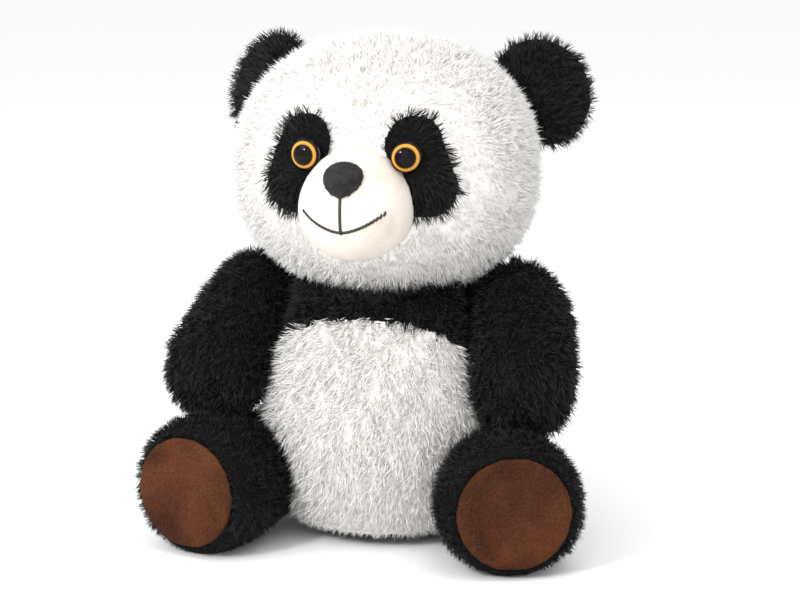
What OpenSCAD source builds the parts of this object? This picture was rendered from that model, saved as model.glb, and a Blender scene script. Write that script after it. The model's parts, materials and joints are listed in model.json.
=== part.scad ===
/* [Overall] */
// Height from the floor to the top of the head
total_h = 298; // [270:1:340]

/* [Cloth] */
// Thickness of a plush cover with its pile
pile = 4; // [3:0.5:5]
// Thickness of the smooth velour on muzzle and soles
velour = 2; // [1:0.5:3]
// Space between pieces sewn or stuffed together
fit = 0.2; // [0.1:0.05:0.4]
// Clear space between pieces that move against each other
clear = 0.5; // [0.4:0.1:1]

/* [Head] */
// Width across the cheeks
head_w = 181; // [160:1:195]
// Height and depth of the head
head_h = 153; // [140:1:165]
// How square the head's outline is, 2 being an ellipse
head_square = 2.2; // [2:0.1:2.6]
// Place of the head's middle, forward being negative
head_y = -12; // [-20:1:0]
// Distance from the head's middle back to the seam between face and back
head_seam = 30; // [20:1:40]

/* [Neck] */
// Radius of the ball of stuffing in the neck
neck_ball_r = 15; // [12:0.5:18]
// Height of the neck's turning point above the head's underside
neck_rise = 1.5; // [0:0.5:4]
// Thickness of the gathered neck seam
neck_seam_t = 2.5; // [1.5:0.5:4]
// Half angle that the neck seam covers under the ball
neck_seam_angle = 58; // [45:1:65]
// Space between the head and the collar of the torso
collar_gap = 6.5; // [5:0.5:9]

/* [Muzzle] */
// Width and height of the muzzle
muzzle_d = 65; // [56:1:72]
// How far the muzzle stands out from its own middle
muzzle_out = 42; // [36:1:48]
// Distance from the head's middle forward to the muzzle's middle
muzzle_fwd = 70; // [64:1:74]
// Distance from the head's middle down to the muzzle's middle
muzzle_drop = 14.5; // [8:0.5:20]
// How square the muzzle's outline is, 2 being an ellipse
muzzle_square = 2.2; // [2:0.1:2.6]

/* [Nose and mouth] */
// Width of the nose
nose_w = 27; // [20:0.5:30]
// Height of the nose
nose_h = 26; // [18:0.5:26]
// Height of the nose's middle above the muzzle's middle
nose_up = 14.5; // [12:0.5:18]
// How far the nose stands out from the muzzle
nose_out = 5; // [3:0.5:7]
// Width of the embroidered lines
thread_w = 1.8; // [1:0.1:2.5]
// Height of the embroidered lines above the muzzle
thread_h = 0.8; // [0.5:0.1:1.2]
// Radius of the smile's curve
smile_r = 31; // [26:1:36]
// Half angle of the smile
smile_angle = 46; // [36:1:52]
// Distance from the muzzle's middle down to the smile's lowest point
smile_drop = 11; // [8:0.5:14]

/* [Eyes] */
// Distance between the eyes' middles
eye_apart = 58; // [52:1:66]
// Height of the eyes above the head's middle
eye_up = 13; // [10:0.5:17]
// Diameter of an eye
eye_d = 18; // [15:0.5:20]
// Height of the clear dome
dome_h = 5; // [4:0.5:6]
// Thickness of the eye's black base
eye_base_t = 2; // [1.5:0.5:3]
// Thickness of the printed iris
iris_t = 0.6; // [0.4:0.1:1]
// How far the eyes face outward, in degrees
eye_turn = 16; // [8:1:22]
// Diameter of the eye's stem
stem_d = 4; // [3:0.5:5]
// Length of the stem behind the base
stem_l = 13; // [11:0.5:16]
// Diameter of the lock washer
washer_d = 15; // [12:0.5:17]
// Thickness of the lock washer
washer_t = 1.6; // [1:0.2:2.4]

/* [Eye patches] */
// Thickness of a patch over the face
patch_t = 2.5; // [1.5:0.5:3.5]
// Distance from the head's middle line to the upper end's middle
patch_top_x = 33; // [30:0.5:36]
// Height of the upper end's middle above the head's middle
patch_top_up = 20; // [17:0.5:24]
// Radius of the upper end
patch_top_r = 16; // [14:0.5:18]
// Distance from the head's middle line to the lower end's middle
patch_low_x = 40; // [36:0.5:44]
// Distance from the head's middle down to the lower end's middle
patch_low_drop = 5; // [1:0.5:7]
// Radius of the lower end
patch_low_r = 18; // [15:0.5:20]

/* [Ears] */
// Diameter of an ear
ear_d = 69; // [58:1:74]
// Thickness of an ear at its middle
ear_t = 18; // [12:1:22]
// Distance from the head's middle line to an ear's middle
ear_x = 85; // [80:0.5:90]
// Distance from the head's middle back to an ear's middle
ear_back = 46; // [40:1:52]
// Height of an ear's middle above the head's middle
ear_up = 39; // [32:1:44]
// How far an ear faces outward, in degrees
ear_turn = 35; // [25:1:45]
// How far an ear faces upward, in degrees
ear_tilt = 18; // [10:1:25]
// Free space between an ear and the head
ear_gap = 2.2; // [1.8:0.1:3]

/* [Torso] */
// Width of the torso at the belly
torso_w = 158; // [146:1:166]
// Height of the widest place above the floor
belly_z = 56; // [48:1:62]
// Height of the torso's collar above the floor
torso_top = 149; // [145:1:152]
// Radius of the collar
collar_r = 56; // [50:1:60]
// Radius of the flat seat
seat_r = 62; // [56:1:66]
// Place of the torso's middle, forward being negative
torso_y = -8; // [-14:1:-4]
// Distance from the torso's middle back to the side seams
side_seam = 14; // [12:1:20]
// Space between the two back covers
back_seam = 0.4; // [0.2:0.1:1]

/* [Belly panel] */
// Width of the white panel, seen from the front
panel_w = 132; // [120:1:138]
// Height of the panel's top edge above the floor
panel_top = 131; // [124:1:134]
// Height of the panel's lower end, which a negative value tucks under the seat
panel_low = -8; // [-14:1:-4]
// How square the panel's outline is
panel_square = 2.5; // [2:0.1:3]
// How far back from the belly's front the panel reaches
panel_back = 43; // [40:1:48]

/* [Pellet bag] */
// Diameter of the bag of pellets in the seat
bag_d = 68; // [50:1:72]
// Height of the bag
bag_h = 24; // [18:1:28]
// Distance from the torso's middle back to the bag's middle
bag_back = 30; // [28:1:34]

/* [Arms] */
// Distance from the middle line to a shoulder's turning point
shoulder_x = 79; // [77:0.5:84]
// Place of the shoulder, forward being negative
shoulder_y = -14; // [-20:1:-8]
// Height of the shoulder
shoulder_z = 130; // [126:1:131]
// Radius of the arm at the shoulder
shoulder_r = 30; // [27:0.5:31]
// Radius of the paw
paw_r = 29; // [25:0.5:29]
// Length from the shoulder to the paw's middle
arm_l = 53.5; // [48:0.5:58]
// How far the arm points outward, in degrees
arm_out = 11; // [9:1:20]
// How far the arm points down, in degrees
arm_drop = 27; // [20:1:28]
// Extra room in the torso under and behind an arm
arm_ledge = 2; // [1:0.5:3]
// Radius of the stitched shoulder disc
shoulder_disc_r = 11; // [8:0.5:13]
// Thickness of the stitched shoulder disc
shoulder_disc_t = 6; // [4:0.5:8]

/* [Legs] */
// Distance from the middle line to a hip's turning point
hip_x = 71; // [68:0.5:75]
// Place of the hip, forward being negative
hip_y = -32; // [-38:1:-28]
// Height of the hip
hip_z = 37; // [36:0.5:40]
// Radius of the leg at the hip
hip_r = 32; // [30:0.5:33]
// Radius of the foot
foot_r = 42; // [38:0.5:42]
// Length from the hip to the sole's middle
leg_l = 84; // [76:1:92]
// How far the leg points outward, in degrees
leg_splay = 18; // [14:1:24]
// How far the leg points up, in degrees
leg_rise = 1; // [0:0.5:2]
// Diameter of the brown sole
sole_d = 68; // [58:1:68]
// How far the leg can spread outward, in degrees
leg_spread = 9; // [4:1:10]
// How far the leg can close inward, in degrees
leg_close = 3; // [1:1:4]
// Thickness of the gathered hip seam
hip_seam_t = 2.5; // [1.5:0.5:3]
// Half angle that the hip seam covers behind the leg
hip_seam_angle = 48; // [40:1:52]

/* [Hidden] */
$fn = 96;

left = 1;
right = -1;
steps = 16;        // points along a whole outline
end_steps = 6;     // points round a limb's end
patch_sides = 32;  // corners round each end of an eye patch
panel_sides = 48;  // corners round the belly panel
far = 400;         // reaches past everything
over = 1;          // how far a cut runs past a face
eye_cut = 50;      // length of the cuts made for an eye
stem_end = 1;      // stem left behind the washer
ear_square = 2.3;  // roundness of the ear's edge
bag_square = 2.4;  // roundness of the pellet bag
leg_widest = 0.72; // share of the leg's length at its widest
sweep_flare = 1.5; // widening of the space kept for a leg
turn_spare = 0.5;  // degrees added to the leg's travel
patch_back = 30;   // how far forward of the head's middle a patch may begin

head_z = total_h - head_h / 2;
muzzle_y = head_y - muzzle_fwd;
muzzle_z = head_z - muzzle_drop;
nose_z = muzzle_z + nose_up;
neck_z = head_z - head_h / 2 + neck_rise;
neck_seam_r = neck_ball_r + clear + neck_seam_t;
eye_z = head_z + eye_up;
eye_x = eye_apart / 2;
panel_z = (panel_top + panel_low) / 2;
hip_socket_r = hip_r + clear + hip_seam_t + fit;
disc_face = shoulder_x - shoulder_r - clear;
leg_mid_turn = (leg_spread - leg_close) / 2;
leg_half_turn = (leg_spread + leg_close) / 2 + turn_spare;
sole_inner_r = sole_d / 2 - over;

white = "white";
black = [0.11, 0.11, 0.12];
cream = [0.94, 0.91, 0.87];
brown = [0.38, 0.21, 0.12];
charcoal = [0.18, 0.17, 0.18];
fibre = [0.93, 0.93, 0.9];
amber = [0.8, 0.55, 0.12];

// Radius of a round body of half length a and radius r at distance x from its middle
function swell(x, a, r, p) = r * pow(max(0, 1 - pow(abs(x) / a, p)), 1 / p);

// Half outline of such a body, from end to end
function bulge(a, r, p) = [for (i = [0:steps]) let (x = a * sin(-90 + 180 * i / steps))
    [swell(x, a, r, p), x]];

// Radius of the circle that rises h from a round body's widest place while its radius falls by d
function arc_r(h, d) = (h * h + d * d) / (2 * d);

// A slow start and a slow stop between 0 and 1
function ease(u) = u * u * (3 - 2 * u);

// Half outline of a limb: a ball at the joint, a body of changing radius, and a round end
function limb(r0, r1, len, end) = concat(
    [for (i = [0:end_steps]) let (t = -90 + 90 * i / end_steps) [r0 * cos(t), r0 * sin(t)]],
    [for (i = [1:end_steps - 1]) let (u = i / end_steps) [r0 + (r1 - r0) * ease(u), len * u]],
    [for (i = [0:end_steps]) let (t = 90 * i / end_steps) [r1 * cos(t), len + end * sin(t)]]);

// How far forward the head's surface is at a place seen from the front
function face_y(x, z) = head_y - sqrt(max(0, pow(swell(x, head_w / 2, head_h / 2, head_square), 2)
    - pow(z - head_z, 2)));

// Puts a piece made for the toy's left side on the side asked for
module on(side) {
    if (side == left) children();
    else mirror([1, 0, 0]) children();
}

// Points the +Z axis forward from p, turned outward by splay and down by drop
module aim(p, splay, drop) {
    translate(p) rotate([0, 0, splay]) rotate([90 + drop, 0, 0]) children();
}

// Everything in front of, or behind, the plane at y
module before(y) {
    translate([-far, y - 2 * far, -far]) cube(2 * far);
}

module behind(y) {
    translate([-far, y, -far]) cube(2 * far);
}

module head_solid(grow) {
    translate([0, head_y, head_z]) rotate([0, 90, 0])
        rotate_extrude() polygon(bulge(head_w / 2 + grow, head_h / 2 + grow, head_square));
}

module muzzle_solid(grow) {
    translate([0, muzzle_y, muzzle_z]) rotate([90, 0, 0])
        rotate_extrude() polygon(bulge(muzzle_out + grow, muzzle_d / 2 + grow, muzzle_square));
}

module neck_space(r) {
    translate([0, head_y, neck_z]) sphere(r);
}

// Frame of an eye, with its axis outward and its base on the patch
module eye_place() {
    translate([eye_x, face_y(eye_x, eye_z) - patch_t, eye_z]) rotate([0, 0, eye_turn])
        rotate([90, 0, 0]) children();
}

// Hole for an eye's stem, from behind the cloth to the eye's base
module stem_space() {
    eye_place() translate([0, 0, -eye_cut]) cylinder(h = eye_cut, d = stem_d + 2 * fit);
}

// Seat for an eye's base, open to the front
module eye_seat() {
    eye_place() translate([0, 0, -eye_base_t / 2]) cylinder(h = eye_cut, d = eye_d + 2 * fit);
}

// Stem and washer pocket in the head's stuffing
module eye_pocket() {
    eye_place() translate([0, 0, -stem_l - fit]) cylinder(h = stem_l, d = washer_d + 2 * fit);
}

module head_shell() {
    difference() {
        head_solid(0);
        head_solid(-pile);
        neck_space(neck_ball_r + clear);
    }
}

module head_front_cover() {
    color(white) difference() {
        intersection() {
            head_shell();
            before(head_y + head_seam - fit);
        }
        muzzle_solid(fit);
        stem_space();
        mirror([1, 0, 0]) stem_space();
        eye_seat();
        mirror([1, 0, 0]) eye_seat();
    }
}

module head_back_cover() {
    color(white) intersection() {
        head_shell();
        behind(head_y + head_seam);
    }
}

module head_stuffing() {
    color(fibre) difference() {
        head_solid(-pile - fit);
        neck_space(neck_ball_r + clear);
        eye_pocket();
        mirror([1, 0, 0]) eye_pocket();
    }
}

module muzzle_cover() {
    color(cream) difference() {
        muzzle_solid(0);
        muzzle_solid(-velour);
        head_solid(-pile);
        eye_seat();
        mirror([1, 0, 0]) eye_seat();
    }
}

module muzzle_stuffing() {
    color(fibre) difference() {
        muzzle_solid(-velour - fit);
        head_solid(-pile);
    }
}

module nose() {
    nose_y = muzzle_y - swell(nose_up, muzzle_d / 2, muzzle_out, muzzle_square) - nose_out + nose_h / 2;
    color(charcoal) difference() {
        translate([0, nose_y, nose_z]) rotate([0, 90, 0])
            rotate_extrude() polygon(bulge(nose_w / 2, nose_h / 2, 2));
        muzzle_solid(fit);
    }
}

// The smile and the line from it up to the nose, seen from the front
module mouth_outline() {
    low = muzzle_z - smile_drop;
    translate([0, low + smile_r]) difference() {
        circle(smile_r + thread_w / 2);
        circle(smile_r - thread_w / 2);
        polygon([[0, 0], [far * sin(smile_angle), -far * cos(smile_angle)], [far, far], [-far, far],
            [-far * sin(smile_angle), -far * cos(smile_angle)]]);
    }
    translate([-thread_w / 2, low]) square([thread_w, nose_z - nose_h / 2 - low]);
}

module mouth_stitching() {
    color(charcoal) intersection() {
        difference() {
            muzzle_solid(thread_h);
            muzzle_solid(fit / 4);
        }
        translate([0, muzzle_y - muzzle_out / 2, 0]) rotate([90, 0, 0])
            linear_extrude(muzzle_out) mouth_outline();
    }
}

module patch_outline() {
    hull() {
        translate([patch_top_x, head_z + patch_top_up]) circle(patch_top_r, $fn = patch_sides);
        translate([patch_low_x, head_z - patch_low_drop]) circle(patch_low_r, $fn = patch_sides);
    }
}

module eye_patch(side) {
    color(black) on(side) difference() {
        intersection() {
            head_solid(patch_t);
            translate([0, head_y - patch_back, 0]) rotate([90, 0, 0])
                linear_extrude(head_h) patch_outline();
        }
        head_solid(fit);
        muzzle_solid(fit);
        eye_seat();
        stem_space();
    }
}

module eye_dome(side) {
    rim = eye_d / 2;
    ball = (rim * rim + dome_h * dome_h) / (2 * dome_h);
    color([0.8, 0.85, 0.9, 0.5]) on(side) eye_place() translate([0, 0, eye_base_t / 2 + iris_t])
        intersection() {
            translate([0, 0, dome_h - ball]) sphere(ball);
            cylinder(h = dome_h + over, r = rim + over);
        }
}

module eye_iris(side) {
    color(amber) on(side) eye_place() translate([0, 0, eye_base_t / 2])
        cylinder(h = iris_t, d = eye_d - 2 * fit);
}

module eye_stem(side) {
    color("black") on(side) eye_place() {
        translate([0, 0, fit - eye_base_t / 2]) cylinder(h = eye_base_t - fit, d = eye_d);
        translate([0, 0, -stem_l]) cylinder(h = stem_l, d = stem_d);
    }
}

module eye_washer(side) {
    color([0.85, 0.85, 0.82]) on(side) eye_place() difference() {
        translate([0, 0, stem_end - stem_l]) cylinder(h = washer_t, d = washer_d);
        translate([0, 0, -stem_l]) cylinder(h = stem_l, d = stem_d + fit);
    }
}

module ear_place() {
    translate([ear_x, head_y + ear_back, head_z + ear_up]) rotate([0, 0, ear_turn])
        rotate([90 - ear_tilt, 0, 0]) children();
}

// One panel of an ear: facing forward for way = 1 and backward for way = -1
module ear_panel(side, way) {
    color(black) on(side) difference() {
        ear_place() intersection() {
            rotate_extrude() polygon(bulge(ear_t / 2, ear_d / 2, ear_square));
            translate([-ear_d, -ear_d, way > 0 ? fit / 2 : -ear_d - fit / 2])
                cube([2 * ear_d, 2 * ear_d, ear_d]);
        }
        head_solid(ear_gap);
    }
}

module neck_ball() {
    color(fibre) neck_space(neck_ball_r);
}

module neck_seam() {
    rim_z = neck_z - neck_seam_r * cos(neck_seam_angle);
    color(black) intersection() {
        difference() {
            neck_space(neck_seam_r);
            neck_space(neck_ball_r + clear);
        }
        translate([-far, -far, rim_z - 2 * far]) cube(2 * far);
    }
}

// The torso, as high as its collar, cut back by the given amount all round
module torso_solid(cut) {
    upper = arc_r(torso_top - belly_z, torso_w / 2 - collar_r);
    lower = arc_r(belly_z, torso_w / 2 - seat_r);
    translate([0, torso_y, 0]) rotate_extrude() {
        intersection() {
            translate([torso_w / 2 - upper, belly_z]) circle(upper - cut);
            translate([0, belly_z]) square([torso_w, torso_top - belly_z - cut]);
        }
        intersection() {
            translate([torso_w / 2 - lower, belly_z]) circle(lower - cut);
            translate([0, cut]) square([torso_w, belly_z - cut]);
        }
    }
}

// Clear space under the head, which the torso's collar follows
module collar_space(grow) {
    low = head_h / 2 + collar_gap;
    bend = arc_r(head_w / 3, low - swell(head_w / 3, head_w / 2 + collar_gap, low, head_square));
    translate([0, head_y, head_z]) rotate([0, 90, 0]) rotate_extrude() intersection() {
        translate([low - bend, 0]) circle(bend + grow);
        translate([0, -head_w]) square(2 * head_w);
    }
}

// The space of an arm that turns all the way round at its shoulder
module arm_turn(grow) {
    r0 = shoulder_r + clear + grow;
    r1 = paw_r + clear + grow;
    reach = arm_l * sqrt(1 - pow(sin(arm_out) * cos(arm_drop), 2));
    lean = arm_l * sin(arm_out) * cos(arm_drop);
    translate([shoulder_x, shoulder_y, shoulder_z]) rotate([0, 90, 0]) rotate_extrude() {
        intersection() {
            circle(r0);
            translate([0, -r0]) square([r0, 2 * r0]);
        }
        translate([reach, lean]) circle(r1);
        polygon([[0, -r0], [r0 * sin(arm_out) / 2, -r0], [reach, lean - r1], [reach + r1, lean],
            [reach + r1, torso_w], [0, torso_w]]);
    }
}

// The space that an arm passes through as it swings up from rest
module arm_sweep(grow) {
    room = clear + grow + arm_ledge;
    low = shoulder_z - arm_l * sin(arm_drop) - paw_r - room;
    intersection() {
        arm_turn(grow);
        translate([0, shoulder_y - torso_w, low]) cube([torso_w, torso_w + shoulder_r + room, torso_w]);
    }
}

module arm_place() {
    aim([shoulder_x, shoulder_y, shoulder_z], arm_out, arm_drop) children();
}

module arm_solid(cut) {
    arm_place() rotate_extrude() polygon(limb(shoulder_r - cut, paw_r - cut, arm_l, paw_r - cut));
}

module disc_space(grow, out = 0) {
    translate([disc_face - shoulder_disc_t - grow, shoulder_y, shoulder_z]) rotate([0, 90, 0])
        cylinder(h = shoulder_disc_t + 2 * grow + out, r = shoulder_disc_r + grow);
}

module leg_place(turn = 0) {
    aim([hip_x, hip_y, hip_z], leg_splay + turn, -leg_rise) children();
}

// The leg, rounded to its sole, with flat undersides where it rests on the floor
module leg_solid(cut) {
    belly = leg_l * leg_widest;
    intersection() {
        leg_place() rotate_extrude() polygon(concat(
            [for (i = [0:end_steps]) let (t = -90 + 90 * i / end_steps)
                [(hip_r - cut) * cos(t), (hip_r - cut) * sin(t)]],
            [for (i = [1:end_steps]) let (u = i / end_steps)
                [hip_r - cut + (foot_r - hip_r) * ease(u), belly * u]],
            [for (i = [1:end_steps]) let (t = 90 * i / end_steps)
                [sole_d / 2 - cut + (foot_r - sole_d / 2) * cos(t), belly + (leg_l - cut - belly) * sin(t)]],
            [[0, leg_l - cut]]));
        translate([-far, -far, 0]) cube(2 * far);
    }
}

// The space that a leg needs as it spreads and closes
module leg_sweep(grow) {
    r0 = hip_r + clear + grow;
    leg_place(leg_mid_turn)
        cylinder(h = leg_l, r1 = r0, r2 = r0 + sweep_flare * (foot_r - hip_r) + leg_l * tan(leg_half_turn));
}

module hip_ball(r) {
    translate([hip_x, hip_y, hip_z]) sphere(r);
}

// What the head, the neck and the limbs of one or both sides take out of the torso
module torso_cuts(grow, sides, all_round = false) {
    neck_space(neck_seam_r + clear + grow);
    collar_space(grow);
    for (side = sides) on(side) {
        if (all_round) arm_turn(grow);
        else arm_sweep(grow);
        disc_space(clear + grow, shoulder_disc_t);
        hip_ball(hip_socket_r + grow);
        leg_sweep(grow);
    }
}

// The part of the torso's cover that lies in the region given
module torso_cover(sides = [left, right]) {
    difference() {
        intersection() {
            torso_solid(0);
            children();
        }
        torso_cuts(0, sides);
        difference() {
            torso_solid(pile);
            torso_cuts(pile, sides);
        }
        seat_disc(fit);
    }
}

module panel_prism(grow) {
    w = panel_w / 2 + grow;
    h = (panel_top - panel_low) / 2 + grow;
    translate([0, torso_y - torso_w / 2 + panel_back + grow, panel_z]) rotate([90, 0, 0])
        linear_extrude(torso_w)
            polygon([for (i = [1:panel_sides]) let (t = 360 * i / panel_sides, c = cos(t), s = sin(t))
                [w * sign(c) * pow(abs(c),
                    2 / panel_square), h * sign(s) * pow(abs(s), 2 / panel_square)]]);
}

module seat_disc(grow) {
    translate([0, torso_y, -over]) cylinder(h = pile + 2 * over, r = seat_r - pile + grow);
}

module chest_yoke() {
    color(black) torso_cover() difference() {
        translate([-torso_w, torso_y - torso_w, -pile])
            cube([2 * torso_w, torso_w + side_seam - fit, torso_top + 2 * pile]);
        panel_prism(fit);
    }
}

module belly_panel() {
    color(white) torso_cover() panel_prism(0);
}

module back_cover(side) {
    color(black) on(side) torso_cover([left]) translate([back_seam / 2, torso_y + side_seam, -pile])
        cube([torso_w, torso_w, torso_top + 2 * pile]);
}

module seat_panel() {
    color(black) translate([0, torso_y, 0]) cylinder(h = pile, r = seat_r - pile);
}

module bag_solid(grow) {
    translate([0, torso_y + bag_back, pile + bag_h / 2 + over]) rotate_extrude()
        polygon(bulge(bag_h / 2 + grow, bag_d / 2 + grow, bag_square));
}

module torso_stuffing() {
    color(fibre) difference() {
        torso_solid(pile + fit);
        torso_cuts(pile + fit, [left, right], all_round = true);
        bag_solid(fit);
    }
}

module pellet_bag() {
    color([0.75, 0.75, 0.72]) bag_solid(0);
}

module shoulder_disc(side) {
    color(black) on(side) disc_space(0);
}

module arm_shell() {
    difference() {
        arm_solid(0);
        arm_solid(pile);
    }
}

// Half of the arm's cover: the outer half for way = 1 and the inner half for way = -1
module arm_cover(side, way) {
    color(black) on(side) intersection() {
        arm_shell();
        arm_place() translate([way > 0 ? fit / 2 : -far - fit / 2, -far / 2, -far / 2]) cube(far);
    }
}

module arm_stuffing(side) {
    color(fibre) on(side) arm_solid(pile + fit);
}

// The leg's cover round the sole: the upper half for way = 1 and the under half for way = -1
module leg_cover(side, way) {
    color(black) on(side) difference() {
        intersection() {
            leg_solid(0);
            leg_place() translate([-far / 2, way > 0 ? fit / 2 : -far - fit / 2, -far / 2]) cube(far);
        }
        leg_solid(pile);
        leg_place() translate([0, 0, leg_l - pile - over])
            cylinder(h = pile + 2 * over, r = sole_inner_r + fit);
    }
}

module leg_stuffing(side) {
    color(fibre) on(side) leg_solid(pile + fit);
}

module sole_pad(side) {
    color(brown) on(side) leg_place() translate([0, 0, leg_l - pile + fit])
        cylinder(h = pile - fit, r = sole_inner_r);
}

module hip_seam(side) {
    color(black) on(side) intersection() {
        difference() {
            hip_ball(hip_r + clear + hip_seam_t);
            hip_ball(hip_r + clear);
        }
        leg_place(leg_mid_turn) translate([-far / 2, -far / 2, -far - hip_r * cos(hip_seam_angle)])
            cube(far);
        translate([-far, -far, pile]) cube(2 * far);
    }
}

head_front_cover();
head_back_cover();
head_stuffing();
muzzle_cover();
muzzle_stuffing();
nose();
mouth_stitching();
eye_patch(left);  // left_eye_patch
eye_patch(right);  // right_eye_patch
eye_dome(left);  // left_eye_dome
eye_dome(right);  // right_eye_dome
eye_iris(left);  // left_eye_iris
eye_iris(right);  // right_eye_iris
eye_stem(left);  // left_eye_stem
eye_stem(right);  // right_eye_stem
eye_washer(left);  // left_eye_washer
eye_washer(right);  // right_eye_washer
ear_panel(left, 1);  // left_ear_front
ear_panel(left, -1);  // left_ear_back
ear_panel(right, 1);  // right_ear_front
ear_panel(right, -1);  // right_ear_back
neck_ball();
neck_seam();
chest_yoke();
belly_panel();
back_cover(left);  // left_back_cover
back_cover(right);  // right_back_cover
seat_panel();
torso_stuffing();
pellet_bag();
shoulder_disc(left);  // left_shoulder_disc
shoulder_disc(right);  // right_shoulder_disc
arm_cover(left, 1);  // left_arm_outer_cover
arm_cover(left, -1);  // left_arm_inner_cover
arm_stuffing(left);  // left_arm_stuffing
arm_cover(right, 1);  // right_arm_outer_cover
arm_cover(right, -1);  // right_arm_inner_cover
arm_stuffing(right);  // right_arm_stuffing
hip_seam(left);  // left_hip_seam
hip_seam(right);  // right_hip_seam
leg_cover(left, 1);  // left_leg_top_cover
leg_cover(left, -1);  // left_leg_under_cover
leg_stuffing(left);  // left_leg_stuffing
sole_pad(left);  // left_sole_pad
leg_cover(right, 1);  // right_leg_top_cover
leg_cover(right, -1);  // right_leg_under_cover
leg_stuffing(right);  // right_leg_stuffing
sole_pad(right);  // right_sole_pad
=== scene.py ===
import json
import math

import bmesh
import bpy
import numpy as np
from mathutils import Matrix, Vector, noise
from mathutils.bvhtree import BVHTree


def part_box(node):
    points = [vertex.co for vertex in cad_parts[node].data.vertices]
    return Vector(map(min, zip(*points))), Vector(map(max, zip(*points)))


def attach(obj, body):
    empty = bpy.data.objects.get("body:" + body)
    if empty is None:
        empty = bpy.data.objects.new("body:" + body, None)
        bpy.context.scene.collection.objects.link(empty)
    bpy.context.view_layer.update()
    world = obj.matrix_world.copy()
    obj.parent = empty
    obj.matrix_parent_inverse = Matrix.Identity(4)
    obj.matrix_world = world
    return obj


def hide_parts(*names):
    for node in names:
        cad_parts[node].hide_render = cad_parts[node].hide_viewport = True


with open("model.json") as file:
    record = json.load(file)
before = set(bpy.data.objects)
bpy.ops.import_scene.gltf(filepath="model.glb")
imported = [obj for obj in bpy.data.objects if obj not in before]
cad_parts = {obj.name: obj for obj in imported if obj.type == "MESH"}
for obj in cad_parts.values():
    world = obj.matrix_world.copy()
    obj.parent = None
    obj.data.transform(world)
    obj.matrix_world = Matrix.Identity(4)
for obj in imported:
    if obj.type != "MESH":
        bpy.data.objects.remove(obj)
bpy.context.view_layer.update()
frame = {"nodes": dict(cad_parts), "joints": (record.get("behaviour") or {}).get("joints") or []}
scene = bpy.context.scene
up = Vector((0, 0, 1))
sides = {"left": 1, "right": -1}


def fromBmesh(work, name):
    mesh = bpy.data.meshes.new(name)
    work.to_mesh(mesh)
    work.free()
    piece = bpy.data.objects.new(name, mesh)
    scene.collection.objects.link(piece)
    return piece


def smoothShade(piece):
    piece.data.polygons.foreach_set("use_smooth", [True] * len(piece.data.polygons))


def pointsOf(piece):
    points = np.empty(len(piece.data.vertices) * 3, np.float32)
    piece.data.vertices.foreach_get("co", points)
    return points.reshape(-1, 3).astype(float)


def setPoints(piece, points):
    piece.data.vertices.foreach_set("co", np.asarray(points, np.float32).ravel())
    piece.data.update()


def normalsOf(piece):
    normals = np.empty(len(piece.data.vertices) * 3, np.float32)
    piece.data.vertex_normals.foreach_get("vector", normals)
    return normals.reshape(-1, 3).astype(float)


def applyModifiers(piece):
    graph = bpy.context.evaluated_depsgraph_get()
    graph.update()
    made = bpy.data.meshes.new_from_object(piece.evaluated_get(graph), preserve_all_data_layers=True,
                                           depsgraph=graph)
    made.name = piece.data.name
    piece.modifiers.clear()
    piece.data = made


def boxMiddle(node):
    low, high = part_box(node)
    return (low + high) / 2


def boxSize(node):
    low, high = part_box(node)
    return high - low


def jointPlace(name):
    return Vector(next(joint for joint in frame["joints"] if joint["name"] == name)["pos_m"])


def mergedCopy(names, newName):
    work = bmesh.new()
    for name in names:
        work.from_mesh(frame["nodes"][name].data)
    bmesh.ops.remove_doubles(work, verts=work.verts, dist=1e-5)
    return fromBmesh(work, newName)


def nodeTree(name):
    work = bmesh.new()
    work.from_mesh(frame["nodes"][name].data)
    tree = BVHTree.FromBMesh(work)
    work.free()
    return tree


def newMaterial(name, roughness, **plain):
    material = bpy.data.materials.new(name)
    material.use_nodes = True
    shader = material.node_tree.nodes["Principled BSDF"]
    shader.inputs["Roughness"].default_value = roughness
    for socket, value in plain.items():
        shader.inputs[socket.replace("_", " ")].default_value = value
    return material, material.node_tree.nodes, material.node_tree.links, shader


def napGroup():
    # short brushed pile: fine grain, brushed patches and a height for the bump
    group = bpy.data.node_groups.new("brushedNap", "ShaderNodeTree")
    for name, kind, value in (("Vector", "NodeSocketVector", None), ("Grain", "NodeSocketFloat", 900.0),
                              ("Patch", "NodeSocketFloat", 60.0), ("Contrast", "NodeSocketFloat", 0.5)):
        socket = group.interface.new_socket(name, in_out="INPUT", socket_type=kind)
        if value is not None:
            socket.default_value = value
    for name in ("Shade", "Height"):
        group.interface.new_socket(name, in_out="OUTPUT", socket_type="NodeSocketFloat")
    nodes, links = group.nodes, group.links
    start, end = nodes.new("NodeGroupInput"), nodes.new("NodeGroupOutput")
    grain, patch = nodes.new("ShaderNodeTexNoise"), nodes.new("ShaderNodeTexNoise")
    grain.inputs["Detail"].default_value = 3.0
    patch.inputs["Detail"].default_value = 1.5
    patch.inputs["Distortion"].default_value = 0.6
    links.new(start.outputs["Vector"], grain.inputs["Vector"])
    links.new(start.outputs["Vector"], patch.inputs["Vector"])
    links.new(start.outputs["Grain"], grain.inputs["Scale"])
    links.new(start.outputs["Patch"], patch.inputs["Scale"])
    steep = nodes.new("ShaderNodeMapRange")
    steep.inputs["From Min"].default_value = 0.34
    steep.inputs["From Max"].default_value = 0.66
    links.new(patch.outputs["Fac"], steep.inputs["Value"])
    mixed = nodes.new("ShaderNodeMix")
    links.new(start.outputs["Contrast"], mixed.inputs["Factor"])
    links.new(grain.outputs["Fac"], mixed.inputs["A"])
    links.new(steep.outputs["Result"], mixed.inputs["B"])
    links.new(mixed.outputs["Result"], end.inputs["Shade"])
    links.new(grain.outputs["Fac"], end.inputs["Height"])
    return group


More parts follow.
